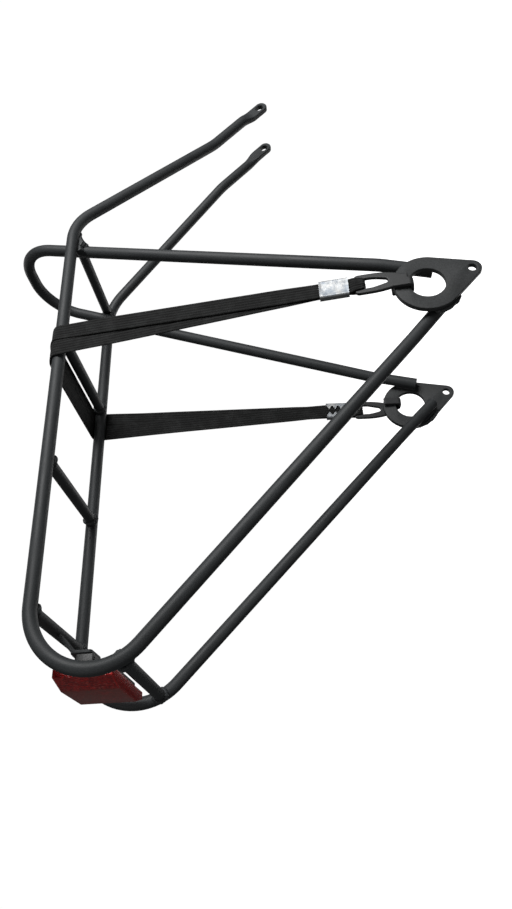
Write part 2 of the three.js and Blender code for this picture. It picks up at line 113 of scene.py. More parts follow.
# Flattened end of each front arm, pressed towards the tube's inner side
EYELET_HALF_WIDTH = 5.9 * MM
EYELET_HALF_THICK = 2.6 * MM
EYELET_FLAT = 14.5 * MM
EYELET_RAMP = 15 * MM
TAB_SHIFT = TUBE_R - EYELET_HALF_THICK
EYELET_EDGE_R = 1.1 * MM
SLOT_WIDTH = 6.2 * MM
SLOT_LENGTH = 9 * MM
SLOT_BACK = 2.6 * MM

# Welds of the cross tubes, and of the hoop with the rails
CROSS_BEAD_R = 2.2 * MM
CROSS_BEAD_INSIDE = 1.2 * MM  # from the side tube's wall inwards
FILLET_HALF = 4 * MM
FILLET_FROM_LEG = 4.6 * MM
FILLET_FROM_RAIL = 4.5 * MM

# Dropout plates
PLATE_INNER_Y = 80 * MM
PLATE_THICK = 4 * MM
PLATE_EDGE_R = 0.5 * MM
RING = (-10.3 * MM, 34.5 * MM)
RING_R = 25 * MM
RING_HOLE = 13.5 * MM
LUG_R = 7 * MM
LUG_HOLE = 3.25 * MM

# Hooks, ferrules and webbing, in the hook's frame: z along the strap, y from outside inwards
HOOK_THICK = 3 * MM
HOOK_CLEAR = 0.4 * MM
HOOK_X = {RIGHT: -7 * MM, LEFT: -10.5 * MM}
CLAW_HALF_X = 3.5 * MM
CLAW_REACH = 12.3 * MM
WEB_THICK = 1.5 * MM
WEB_RIBS = 6
RIB_STEPS = 8
WEB_SHARES = [2 * k / (WEB_RIBS * RIB_STEPS) - 1 for k in range(WEB_RIBS * RIB_STEPS + 1)]
WEB_HALF = 7.35 * MM
GRIPPED_HALF = 6.95 * MM  # half width inside the ferrule
FERRULE_FROM = 32.6 * MM
FERRULE_TO = 54.6 * MM
FERRULE_WALL = 0.8 * MM
SLEEVE_HALF = 7.7 * MM
WRAP_R = 6.2 * MM  # rail's axis to the strap's middle
BANDS_ON_RAIL = {  # x of each band's middle where it lies on the rail
    "front": {RIGHT: -5.9 * MM, LEFT: -11 * MM},
    "rear": {RIGHT: -20.4 * MM, LEFT: -25.2 * MM},
}
BANDS_ON_PLATFORM = {"front": -12 * MM, "rear": -26.3 * MM}

# Reflector
LENS_Z = 288 * MM
LENS_HALF_HEIGHT = 20 * MM
LENS_HALF_WIDTH = 40 * MM
LENS_FLAT = 21 * MM
LENS_FRONT = -266 * MM
LENS_EDGE = -271.5 * MM
LENS_REAR = -276.5 * MM
HOUSING_FRONT = -260 * MM
HOUSING_INSET = 4.5 * MM
BOSS_LOW = mm(-262, -12, 290.5)
BOSS_HIGH = mm(-249, 12, 303)
GROOVE_Y = 9.6 * MM
BRACKET_X = -247.45 * MM
BRACKET_THICK = 2.5 * MM
BRACKET_HALF_WIDTH = 12 * MM
BRACKET_NECK_HALF = 6 * MM
BRACKET_BOTTOM = 292 * MM
BRACKET_TOP = 307.5 * MM
HOLE_R = 2.3 * MM
SCREW_Z = 301 * MM
SCREW_END = -256 * MM
SCREW_HEAD = -245 * MM
WASHER_X = -245.6 * MM


# ---- Meshes ----


def soften(obj, sharp=35):
    """Smooth shading, with edges that bend more than `sharp` degrees kept crisp."""
    mesh = obj.data
    mesh.polygons.foreach_set("use_smooth", [True] * len(mesh.polygons))
    mesh.set_sharp_from_angle(angle=math.radians(sharp))
    mesh.update()
    return obj


def link(name, data):
    """A new object for the data, in the scene."""
    obj = bpy.data.objects.new(name, data)
    bpy.context.collection.objects.link(obj)
    return obj


def new_object(name, points, faces, sharp=35, weave=None):
    """A mesh object. `weave` gives each point of webbing its place across and along it."""
    mesh = bpy.data.meshes.new(name)
    mesh.from_pydata([tuple(p) for p in points], [], faces)
    if weave:
        attribute = mesh.attributes.new("weave", "FLOAT_VECTOR", "POINT")
        attribute.data.foreach_set("vector", np.array(weave, np.float32).ravel())
    work = bmesh.new()
    work.from_mesh(mesh)
    if not weave:
        bmesh.ops.remove_doubles(work, verts=work.verts, dist=1e-7)
    bmesh.ops.recalc_face_normals(work, faces=work.faces)
    work.to_mesh(mesh)
    work.free()
    return soften(link(name, mesh), sharp)


def from_bmesh(name, work, sharp=35):
    mesh = bpy.data.meshes.new(name)
    work.to_mesh(mesh)
    work.free()
    return soften(link(name, mesh), sharp)


def ring_faces(n, count, first=0, closed=False):
    """Quads between `count` rings of n points, the first of which is point `first`."""
    faces = []
    for i in range(count if closed else count - 1):
        a = first + i * n
        b = first + (i + 1) % count * n
        for k in range(n):
            after = (k + 1) % n
            faces.append((a + k, a + after, b + after, b + k))
    return faces


def skin(name, rings, closed=False, sharp=35, weave=None):
    """A surface through rings of equally many points, capped unless it is closed."""
    n = len(rings[0])
    faces = ring_faces(n, len(rings), closed=closed)
    if not closed:
        faces.append(tuple(range(n - 1, -1, -1)))
        faces.append(tuple(range((len(rings) - 1) * n, len(rings) * n)))
    return new_object(name, [p for ring in rings for p in ring], faces, sharp, weave)


def apply_modifiers(obj, sharp=35):
    bpy.context.view_layer.update()
    graph = bpy.context.evaluated_depsgraph_get()
    mesh = bpy.data.meshes.new_from_object(obj.evaluated_get(graph))
    obj.modifiers.clear()
    obj.data = mesh
    return soften(obj, sharp)


def combine(obj, tool, operation, sharp=35):
    """Cuts `tool` from obj, or joins it on, and removes the tool."""
    modifier = obj.modifiers.new("combine", "BOOLEAN")
    modifier.operation = operation
    modifier.solver = "EXACT"
    modifier.object = tool
    apply_modifiers(obj, sharp)
    bpy.data.objects.remove(tool)
    return obj


def melt(obj, voxel, rounds):
    """Turns overlapping solids into one skin with soft edges, as forged or cast metal has."""
    remesh = obj.modifiers.new("melt", "REMESH")
    remesh.mode = "VOXEL"
    remesh.voxel_size = voxel
    smooth = obj.modifiers.new("smooth", "SMOOTH")
    smooth.factor = 0.5
    smooth.iterations = rounds
    return apply_modifiers(obj, sharp=60)


def gather(name, parts):
    """Several objects in one mesh."""
    work = bmesh.new()
    for part in parts:
        work.from_mesh(part.data)
        bpy.data.objects.remove(part)
    return from_bmesh(name, work)


def move_mesh(obj, matrix):
    obj.data.transform(matrix)
    return obj


class Pen:
    """Collects the points of a closed outline."""

    def __init__(self, *start):
        self.points = [start] if start else []

    def line(self, x, y):
        self.points.append((x, y))
        return self

    def quad(self, cx, cy, x, y, steps=8):
        x0, y0 = self.points[-1]
        for i in range(1, steps + 1):
            t = i / steps
            a, b, c = (1 - t) ** 2, 2 * t * (1 - t), t * t
            self.points.append((a * x0 + b * cx + c * x, a * y0 + b * cy + c * y))
        return self

    def arc(self, cx, cy, r, start, end, steps=12):
        for i in range(steps + 1):
            turn = math.radians(start + (end - start) * i / steps)
            self.points.append((cx + r * math.cos(turn), cy + r * math.sin(turn)))
        return self


def wound(points, anticlockwise):
    area = sum(
        a[0] * b[1] - b[0] * a[1] for a, b in zip(points, points[1:] + points[:1])
    )
    return points if (area > 0) == anticlockwise else points[::-1]


def inset(points, distance):
    """The outline moved to its left by `distance`, with mitred corners."""
    moved = []
    for i, here in enumerate(points):
        before = Vector(here) - Vector(points[i - 1])
        after = Vector(points[(i + 1) % len(points)]) - Vector(here)
        a = Vector((-before.y, before.x)).normalized()
        b = Vector((-after.y, after.x)).normalized()
        middle = (a + b).normalized()
        mitre = min(1 / max(middle.dot(a), 0.4), 2)
        moved.append(tuple(Vector(here) + middle * distance * mitre))
    return moved


def plate(name, loops, thick, edge):
    """A flat plate in its XY plane, centred in Z, with rounded edges.
    The first loop is the outline and the others are holes."""
    loops = [wound([tuple(p) for p in loop], i == 0) for i, loop in enumerate(loops)]
    half = thick / 2
    steps = 3
    quarter = [math.pi / 2 * i / steps for i in range(steps + 1)]
    top = [(edge * (1 - math.sin(q)), half - edge * (1 - math.cos(q))) for q in quarter]
    levels = top + [(out, -z) for out, z in reversed(top)]
    points = []
    faces = []
    rims = {0: [], len(levels) - 1: []}
    flat = []
    for loop in loops:
        n = len(loop)
        faces += ring_faces(n, len(levels), first=len(points))
        for level, (out, z) in enumerate(levels):
            if level in rims:
                rims[level] += range(len(points), len(points) + n)
            points += [(x, y, z) for x, y in inset(loop, out)]
        flat.append([Vector((x, y, 0)) for x, y in inset(loop, edge)])
    upper, lower = rims.values()
    for triangle in geometry.tessellate_polygon(flat):
        faces.append(tuple(upper[k] for k in triangle))
        faces.append(tuple(lower[k] for k in reversed(triangle)))
    return new_object(name, points, faces, sharp=50)


def circle(x, y, r, steps=48):
    return Pen().arc(x, y, r, 0, 360 - 360 / steps, steps - 1).points


def rounded_box(name, low, high, edge):
    """A box with rounded edges and corners between two opposite corners."""
    size = [h - l for l, h in zip(low, high)]
    centre = Matrix.Translation([(l + h) / 2 for l, h in zip(low, high)])
    work = bmesh.new()
    bmesh.ops.create_cube(work, size=1, matrix=centre @ Matrix.Diagonal((*size, 1)))
    bmesh.ops.bevel(work, geom=work.edges, offset=edge, segments=3, profile=0.5, affect="EDGES")
    return from_bmesh(name, work, sharp=50)


# Turns a plate's plane into another plane of the frame: its X, its Y and its thickness
IN_XZ = Matrix(((1, 0, 0, 0), (0, 0, -1, 0), (0, 1, 0, 0), (0, 0, 0, 1)))
IN_YZ = Matrix(((0, 0, 1, 0), (1, 0, 0, 0), (0, 1, 0, 0), (0, 0, 0, 1)))


def lerp(a, b, t):
    return a + (b - a) * t


def smoothstep(t, low=0.0, high=1.0):
    t = min(max((t - low) / (high - low), 0), 1)
    return t * t * (3 - 2 * t)


def on_side(point, side):
    return Vector((point.x, side * point.y, point.z))


# ---- Paths and sweeps ----


def bent_path(corners, step=math.radians(4)):
    """Stations (point, tangent) of straight runs joined by round bends.
    A corner is (point, bend radius), with radius 0 where the path doesn't bend."""
    stations = []
    for i, (at, radius) in enumerate(corners):
        inward = (at - corners[i - 1][0]).normalized() if i else None
        outward = None
        if i + 1 < len(corners):
            outward = (corners[i + 1][0] - at).normalized()
        if not radius:
            stations.append((at, inward if outward is None else outward))
            continue
        angle = inward.angle(outward)
        start = at - inward * radius * math.tan(angle / 2)
        axis = inward.cross(outward).normalized()
        spoke = axis.cross(inward) * radius
        centre = start + spoke
        steps = max(2, math.ceil(angle / step))
        for k in range(steps + 1):
            turn = Matrix.Rotation(angle * k / steps, 3, axis)
            stations.append((centre - turn @ spoke, turn @ inward))
    return stations


def rings_along(stations, section, across):
    """A ring at each station. section(i) gives points (out, along `across`)."""
    rings = []
    for i, (point, tangent) in enumerate(stations):
        b = (across - tangent * across.dot(tangent)).normalized()
        a = b.cross(tangent)
        rings.append([point + a * p + b * q for p, q in section(i)])
    return rings


def round_section(r, sides=48):
    turns = [2 * math.pi * k / sides for k in range(sides)]
    return [(r * math.cos(t), r * math.sin(t)) for t in turns]


def open_end(point, outward, r):
    """Stations and radii that turn a tube's end into a cut, hollow end."""
    inner = r - TUBE_WALL
    lip = 0.3 * MM
    steps = [(-lip, r), (0, r - lip), (0, inner + lip / 2), (-lip, inner)]
    steps.append((-OPEN_END_DEPTH, inner))
    return [(point + outward * back, radius) for back, radius in steps]


def running_lengths(points):
    """The length of the path up to each of its points."""
    lengths = [0.0]
    for a, b in zip(points, points[1:]):
        lengths.append(lengths[-1] + (b - a).length)
    return lengths


def resampled(path, spacing, closed):
    """Points evenly spaced along a path of points."""
    points = list(path) + ([path[0]] if closed else [])
    lengths = running_lengths(points)
    count = max(6, round(lengths[-1] / spacing))
    result = []
    k = 0
    for i in range(count if closed else count + 1):
        at = lengths[-1] * i / count
        while k < len(points) - 2 and lengths[k + 1] < at:
            k += 1
        share = (at - lengths[k]) / max(lengths[k + 1] - lengths[k], 1e-12)
        result.append(points[k].lerp(points[k + 1], share))
    return result


def weld_bead(name, path, radius, closed=True, seed=0.0):
    """A bead of weld with its overlapping ripples, laid along a path of points."""
    per_ripple = 5
    spacing = 1.7 * MM / per_ripple
    points = resampled(path, spacing, closed)
    n = len(points)
    stations = []
    for i, here in enumerate(points):
        before = points[i - 1] if closed or i else here
        after = points[(i + 1) % n] if closed or i + 1 < n else here
        stations.append((here, (after - before).normalized()))

    def section(i):
        ripple = (i % per_ripple) / per_ripple
        wander = noise.noise(points[i] / (3.5 * MM) + Vector((seed, seed, 0)))
        r = radius * (0.93 + 0.13 * math.sin(math.pi * ripple) + 0.28 * wander)
        if not closed:
            end = min(i, n - 1 - i) * spacing
            r *= math.sqrt(min(1, (end + 0.1 * radius) / radius))
        return round_section(r, 14)

    return skin(name, rings_along(stations, section, Y_AXIS), closed, sharp=60)


# ---- Materials ----


class Nodes:
    """A material's node tree, with short ways to add to it."""

    def __init__(self, name):
        self.material = bpy.data.materials.new(name)
        self.material.use_nodes = True
        self.tree = self.material.node_tree
        self.shader = self.tree.nodes["Principled BSDF"]

    def add(self, kind, inputs=None, **settings):
        node = self.tree.nodes.new("ShaderNode" + kind)
        for key, value in settings.items():
            setattr(node, key, value)
        for key, value in (inputs or {}).items():
            self.feed(node.inputs[key], value)
        return node

    def feed(self, socket, value):
        if isinstance(value, bpy.types.NodeSocket):
            self.tree.links.new(value, socket)
        else:
            socket.default_value = value

    def set(self, **inputs):
        for key, value in inputs.items():
            self.feed(self.shader.inputs[key.replace("_", " ")], value)

    def coordinates(self):
        return self.add("TexCoord").outputs["Object"]

    def noise(self, where, size, detail=3, rough=0.55):
        inputs = {"Vector": where, "Scale": 1 / size, "Detail": detail, "Roughness": rough}
        return self.add("TexNoise", inputs).outputs["Fac"]

    def spread(self, value, low, high, to_low, to_high):
        inputs = {0: value, 1: low, 2: high, 3: to_low, 4: to_high}
        return self.add("MapRange", inputs, clamp=True).outputs[0]

    def math(self, operation, a, b=0.0):
        return self.add("Math", {0: a, 1: b}, operation=operation).outputs[0]

    def weighted(self, a, a_share, b, b_share):
        a = self.math("MULTIPLY", a, a_share)
        return self.math("ADD", a, self.math("MULTIPLY", b, b_share))

    def mix(self, share, a, b):
        node = self.add("Mix", data_type="RGBA")
        self.feed(node.inputs["Factor"], share)
        self.feed(node.inputs["A"], a)
        self.feed(node.inputs["B"], b)
        return node.outputs["Result"]

    def bump(self, height, strength, distance, under=None):
        inputs = {"Height": height, "Strength": strength, "Distance": distance}
        node = self.add("Bump", inputs)
        if under is not None:
            self.feed(node.inputs["Normal"], under)
        return node.outputs["Normal"]


def shade(colour, factor):
    return [c * factor for c in colour] + [1]


def powder_coat(name, colour, roughness, grain=1.3 * MM):
    """Satin powder coat: fine orange peel, a finer grain, and slightly uneven gloss."""
    n = Nodes(name)
    where = n.coordinates()
    peel = n.noise(where, grain * 2, 2)
    fine = n.noise(where, grain * 0.45, 2)
    cloud = n.noise(where, 35 * MM, 4)
    tone = n.weighted(cloud, 0.6, n.spread(fine, 0.35, 0.7, 0, 1), 0.4)
    tone = n.spread(tone, 0.3, 0.75, 0, 1)
    n.set(Base_Color=n.mix(tone, shade(colour, 0.72), shade(colour, 1.3)))
    n.set(Roughness=n.spread(cloud, 0.35, 0.65, roughness - 0.05, roughness + 0.07))
    under = n.bump(peel, 0.3, 0.1 * MM)
    n.set(Normal=n.bump(fine, 0.4, 0.04 * MM, under), Specular_IOR_Level=0.3)
    return n.material


def elastic_weave(name):
    """Ribbed elastic: rows of covered rubber threads tied by fine cross threads, with painted shade
    in the weave's hollows and in the valleys between the ribs.
    """
    n = Nodes(name)
    weave = n.add("Attribute", attribute_name="weave").outputs["Vector"]
    parts = n.add("SeparateXYZ", {"Vector": weave})
    across, along = parts.outputs["X"], parts.outputs["Y"]
    pick = n.math("MULTIPLY", along, 2 * math.pi / (0.62 * MM))
    thread = n.math("MULTIPLY", across, 2 * math.pi / (0.8 * MM))
    cords = n.math("SINE", thread)
    picks = n.math("SINE", n.math("ADD", pick, n.math("MULTIPLY", cords, 1.4)))
    height = n.weighted(picks, 0.5, cords, 0.35)
    height = n.weighted(height, 1.0, n.noise(n.coordinates(), 0.25 * MM, 3), 0.9)
    # Painted shade: the colour darkens with the weave's height, so the hollows between threads look
    # shaded.
    painted_weave_light = n.spread(height, -0.3, 1.5, 0, 1)
    rib = n.math("MULTIPLY", across, math.pi * WEB_RIBS / (2 * WEB_HALF))
    crown = n.math("ABSOLUTE", n.math("SINE", rib))
    # Painted shade: near-black lines in the valleys between the ribs.
    painted_weave_light = n.math("MULTIPLY", painted_weave_light, n.spread(crown, 0.25, 0.9, 0.03, 1))
    wear = n.spread(n.noise(n.coordinates(), 9 * MM, 4), 0.45, 0.75, 0, 0.45)
    tone = n.weighted(painted_weave_light, 0.75, wear, 1.0)
    n.set(Base_Color=n.mix(tone, (0.0015, 0.0015, 0.0015, 1), (0.026, 0.027, 0.027, 1)))
    n.set(Roughness=0.85, Normal=n.bump(height, 0.8, 0.14 * MM))
    n.set(Sheen_Weight=0.05, Sheen_Roughness=0.45, Specular_IOR_Level=0.25)
    return n.material


def zinc(name):
    """Bright plated sheet: soft bluish mottles, shallow dents and fine drawing marks."""
    n = Nodes(name)
    where = n.coordinates()
    cloud = n.noise(where, 7 * MM, 3, 0.5)
    tone = n.weighted(cloud, 0.6, n.noise(where, 2.2 * MM, 2, 0.5), 0.4)
    tone = n.spread(tone, 0.36, 0.6, 0, 1)
    n.set(Base_Color=n.mix(tone, (0.22, 0.245, 0.275, 1), (0.36, 0.363, 0.36, 1)))
    n.set(Metallic=1.0, Roughness=n.spread(tone, 0, 1, 0.62, 0.54))
    drawn = n.add("Mapping", {"Vector": where, "Scale": (1, 1, 9)}).outputs["Vector"]
    under = n.bump(cloud, 0.25, 0.3 * MM)
    n.set(Normal=n.bump(n.noise(drawn, 0.5 * MM, 3), 0.15, 0.02 * MM, under))
    return n.material


def red_lens(name):
    """Clear red plastic over rows of small prisms, with painted glints on a few prisms, a painted
    bright line along its bottom edge and a patchy painted brownish-grey reflection on its flat rear
    face.
    """
    n = Nodes(name)
    where = n.coordinates()
    shape = {"Vector": where, "Scale": 1 / (1.1 * MM), "Randomness": 0.45}
    cells = n.add("TexVoronoi", shape, distance="MANHATTAN")
    facet = n.add("SeparateXYZ", {"Vector": cells.outputs["Color"]})
    # Painted glints: the brightest cells turn pale pink, as if the prisms caught the light.
    painted_glint = n.spread(facet.outputs["X"], 0.88, 1.0, 0, 0.6)
    base = n.mix(facet.outputs["Y"], (0.13, 0.003, 0.004, 1), (0.52, 0.013, 0.011, 1))
    cloud = n.noise(where, 8 * MM, 3)
    base = n.mix(n.spread(cloud, 0.4, 0.7, 0, 0.6), base, (0.19, 0.005, 0.005, 1))
    base = n.mix(painted_glint, base, (0.6, 0.14, 0.11, 1))
    place = n.add("SeparateXYZ", {"Vector": where})
    on_rear = n.spread(place.outputs["X"], LENS_REAR + 0.1 * MM, LENS_REAR + 0.6 * MM, 1, 0)
    low_edge = LENS_Z - LENS_HALF_HEIGHT
    # Painted light: a bright red line along the bottom edge, as if light shone through it.
    painted_edge_light = n.spread(place.outputs["Z"], low_edge + 0.4 * MM, low_edge + 1.6 * MM, 0.7, 0)
    base = n.mix(painted_edge_light, base, (0.5, 0.02, 0.016, 1))
    # Painted reflection: a patchy brownish grey over the flat rear face.
    reflection_patches = n.spread(n.noise(where, 12 * MM, 4), 0.3, 0.7, 0.3, 0.75)
    painted_rear_reflection = n.math("MULTIPLY", on_rear, reflection_patches)
    n.set(Base_Color=n.mix(painted_rear_reflection, base, (0.165, 0.06, 0.046, 1)))
    n.set(Roughness=0.34, Normal=n.bump(cells.outputs["Distance"], 0.7, 0.35 * MM))
    n.set(Specular_IOR_Level=0.3, Coat_Weight=0.35, Coat_Roughness=0.15, Coat_IOR=1.49)
    return n.material


def moulded_plastic(name, colour):
    """Black plastic with a spark-eroded grain."""
    n = Nodes(name)
    where = n.coordinates()
    grain = n.noise(where, 0.35 * MM, 3)
    cloud = n.noise(where, 14 * MM, 3)
    n.set(Base_Color=n.mix(cloud, shade(colour, 0.8), shade(colour, 1.3)))
    n.set(Roughness=n.spread(grain, 0.3, 0.7, 0.42, 0.6), Normal=n.bump(grain, 0.5, 0.05 * MM))
    return n.material


def black_oxide(name):
    """Oiled black steel, a little rubbed."""
    n = Nodes(name)
    where = n.coordinates()
    wear = n.spread(n.noise(where, 1.5 * MM, 4), 0.45, 0.8, 0, 1)
    n.set(Base_Color=n.mix(wear, (0.02, 0.02, 0.022, 1), (0.09, 0.09, 0.095, 1)))
    n.set(Metallic=0.8, Roughness=n.spread(wear, 0, 1, 0.45, 0.32))
    n.set(Normal=n.bump(n.noise(where, 0.3 * MM, 3), 0.3, 0.03 * MM))
    return n.material


MATERIALS = {
    "frame": powder_coat("frame_powder_coat", (0.0305, 0.0333, 0.035), 0.56),
    "plate": powder_coat("plate_powder_coat", (0.033, 0.035, 0.036), 0.6, 2 * MM),
    "hook": powder_coat("hook_coat", (0.027, 0.028, 0.029), 0.5, 1 * MM),
    "webbing": elastic_weave("elastic_weave"),
    "zinc": zinc("plated_sheet"),
    "fastener": black_oxide("black_oxide"),
    "lens": red_lens("red_prismatic_lens"),
    "housing": moulded_plastic("black_moulding", (0.009, 0.009, 0.009)),
}


def finish_piece(obj, slot, body, *nodes):
    """Gives a piece its material and body, and hides the CAD nodes that it stands for."""
    obj.data.materials.clear()
    obj.data.materials.append(MATERIALS[slot])
    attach(obj, body)
    if nodes:
        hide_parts(*nodes)


# ---- Side tubes ----

EYELET_AXIS = (EYELET - ARM_KINK).normalized()
QUADRANT_STEPS = 16


def rail_y(x):
    share = (RAIL_FRONT.x - x) / (RAIL_FRONT.x - RAIL_REAR.x)
    return lerp(RAIL_FRONT.y, RAIL_REAR.y, share)


def pressed_section(half_width, half_thick, pressed):
    """A tube's section, from round (pressed 0) to a flat strip with rounded edges (1)."""
    edge = min(EYELET_EDGE_R, half_width * 0.95)
    side_share = 0.125
    corner_share = 0.5
    quadrant = []
    for i in range(QUADRANT_STEPS):
        share = i / QUADRANT_STEPS
        turn = math.pi / 2 * share
        round_point = (TUBE_R * math.cos(turn), TUBE_R * math.sin(turn))
        past_corner = share - side_share - corner_share
        if share < side_share:
            flat = (half_width, (half_thick - edge) * share / side_share)
        elif past_corner < 0:
            corner = math.pi / 2 * (share - side_share) / corner_share
            flat = (
                half_width - edge + edge * math.cos(corner),
                half_thick - edge + edge * math.sin(corner),
            )
        else:
            left = 1 - past_corner / (1 - side_share - corner_share)
            flat = ((half_width - edge) * left, half_thick)
        quadrant.append(tuple(lerp(r, f, pressed) for r, f in zip(round_point, flat)))
    top = lerp(TUBE_R, half_thick, pressed)
    upper = quadrant + [(0, top)] + [(-a, b) for a, b in reversed(quadrant)]
    return upper + [(a, -b) for a, b in reversed(upper[1:-1])]


def side_tube(side):
    eyelet = on_side(EYELET, side)
    inwards = Y_AXIS * side * TAB_SHIFT
    stations = []
    shapes = []
    tip_steps = 14
    for i in range(tip_steps + 1):
        turn = math.pi / 2 * (1 - i / tip_steps)
        ahead = EYELET_HALF_WIDTH * math.sin(turn)
        half_width = max(EYELET_HALF_WIDTH * math.cos(turn), 0.05 * MM)
        from_edge = max(EYELET_EDGE_R - (EYELET_HALF_WIDTH - ahead), 0)
        drop = EYELET_EDGE_R - math.sqrt(EYELET_EDGE_R**2 - from_edge**2)
        half_thick = EYELET_HALF_THICK - 0.9 * drop
        stations.append((eyelet + EYELET_AXIS * ahead - inwards, -EYELET_AXIS))
        shapes.append((half_width, half_thick, 1.0))
    ramp_steps = 26
    for i in range(ramp_steps + 1):
        back = 1.5 * MM + (EYELET_FLAT + EYELET_RAMP) * i / ramp_steps
        pressed = 1 - smoothstep(back, EYELET_FLAT, EYELET_FLAT + EYELET_RAMP)
        stations.append((eyelet - EYELET_AXIS * back - inwards * pressed, -EYELET_AXIS))
        shapes.append((EYELET_HALF_WIDTH, EYELET_HALF_THICK, pressed))
    corners = [
        (stations[-1][0], 0),
        (on_side(ARM_KINK, side), KINK_BEND_R),
        (on_side(RAIL_FRONT, side), FRONT_BEND_R),
        (on_side(RAIL_REAR, side), REAR_LOOP_R),
        (on_side(STRUT_SET, side), STRUT_BEND_R),
        (on_side(STRUT_END, side), 0),
    ]
    run = bent_path(corners)[1:]
    end, outward = run.pop()
    stations += run
    shapes += [(EYELET_HALF_WIDTH, EYELET_HALF_THICK, 0.0)] * len(run)

    def section(i):
        return pressed_section(*shapes[i])

    rings = rings_along(stations, section, Y_AXIS)
    for point, radius in open_end(end, outward, TUBE_R):
        round_end = round_section(radius, len(rings[0]))
        rings += rings_along([(point, outward)], lambda i: round_end, Y_AXIS)
    tube = skin(f"{SIDE_NAMES[side]}_side_tube_coated", rings)
    slot_centre = eyelet - EYELET_AXIS * SLOT_BACK - inwards
    return combine(tube, slot_cutter(slot_centre), "DIFFERENCE")


def slot_cutter(slot_centre):
    """A prism of the bolt slot's shape that flares out at both faces of the strip."""
    r = SLOT_WIDTH / 2
    reach = SLOT_LENGTH / 2 - r
    chamfer = 0.4 * MM
    face = EYELET_HALF_THICK
    levels = [(-3 * face, 3 * chamfer), (-face, chamfer), (chamfer - face, 0)]
    levels += [(-depth, flare) for depth, flare in reversed(levels)]
    up = Y_AXIS.cross(EYELET_AXIS)
    rings = []
    for depth, flare in levels:
        outline = Pen().arc(reach, 0, r + flare, -90, 90, 16).arc(-reach, 0, r + flare, 90, 270, 16)
        centre = slot_centre + Y_AXIS * depth
        rings.append([centre + EYELET_AXIS * a + up * b for a, b in outline.points])
    return skin("slot_cutter", rings)


# ---- Hoop and cross tubes ----


def front_hoop():
    half = [(HOOP_END, 0), (HOOP_SET, HOOP_SET_R), (HOOP_TOP, HOOP_TOP_R)]
    corners = [(on_side(at, RIGHT), r) for at, r in half]
    corners += [(on_side(at, LEFT), r) for at, r in reversed(half)]
    run = bent_path(corners)
    (start, inward), (end, outward) = run[0], run[-1]

    def ring_at(point, tangent, radius):
        return rings_along([(point, tangent)], lambda i: round_section(radius), X_AXIS)[0]

    rings = [ring_at(p, inward, r) for p, r in reversed(open_end(start, -inward, TUBE_R))]
    rings += [ring_at(p, tangent, TUBE_R) for p, tangent in run[1:-1]]
    rings += [ring_at(p, outward, r) for p, r in open_end(end, outward, TUBE_R)]
    return skin("front_hoop_coated", rings)


def side_tube_surface(x, z, side):
    """Y at which a cross tube's wall at (x, z) meets the rail, or the strut if it is low."""
    offset = z - PLATFORM_Z
    centre = rail_y(x)
    if z < PLATFORM_Z - 2 * TUBE_R:
        strut = (RAIL_REAR - STRUT_SET).xz
        here = Vector((x, z)) - STRUT_SET.xz
        offset = strut.cross(here) / strut.length
        centre = lerp(STRUT_SET.y, RAIL_REAR.y, here.dot(strut) / strut.length_squared)
    return side * (centre - math.sqrt(max(TUBE_R**2 - offset**2, 0)))


def cross_tube(name, x, z):
    sink = 0.5 * MM
    ends = []
    for side in (RIGHT, LEFT):
        end = []
        for a, b in round_section(CROSS_TUBE_R):
            y = side_tube_surface(x + a, z + b, side) + side * sink
            end.append(Vector((x + a, y, z + b)))
        ends.append(end)
    spans = 8
    rings = [[p.lerp(q, i / spans) for p, q in zip(*ends)] for i in range(spans + 1)]
    return skin(f"{name}_coated", rings)


def cross_tube_bead(name, x, z, side, seed):
    path = []
    for a, b in round_section(CROSS_TUBE_R, 60):
        y = side_tube_surface(x + a, z + b, side) - side * CROSS_BEAD_INSIDE
        path.append(Vector((x + a, y, z + b)))
    return weld_bead(f"{SIDE_NAMES[side]}_{name}_weld", path, CROSS_BEAD_R, seed=seed)


# ---- Dropout plates and their welds ----


def teardrop():
    """The outline round the ring and the lug, in X and Z."""
    towards_lug = math.degrees(math.atan2(-RING[1], -RING[0]))
    spread = math.degrees(math.acos((RING_R - LUG_R) / math.hypot(*RING)))
    pen = Pen().arc(0, 0, LUG_R, towards_lug - spread, towards_lug + spread, 20)
    return pen.arc(*RING, RING_R, towards_lug + spread, towards_lug - spread + 360, 72).points


def dropout_plate(side):
    loops = [teardrop(), circle(*RING, RING_HOLE, 72), circle(0, 0, LUG_HOLE, 40)]
    name = f"{SIDE_NAMES[side]}_dropout_plate_coated"
    obj = plate(name, loops, PLATE_THICK, PLATE_EDGE_R)
    middle = Matrix.Translation((0, side * (PLATE_INNER_Y + PLATE_THICK / 2), 0))
    return move_mesh(obj, middle @ IN_XZ)


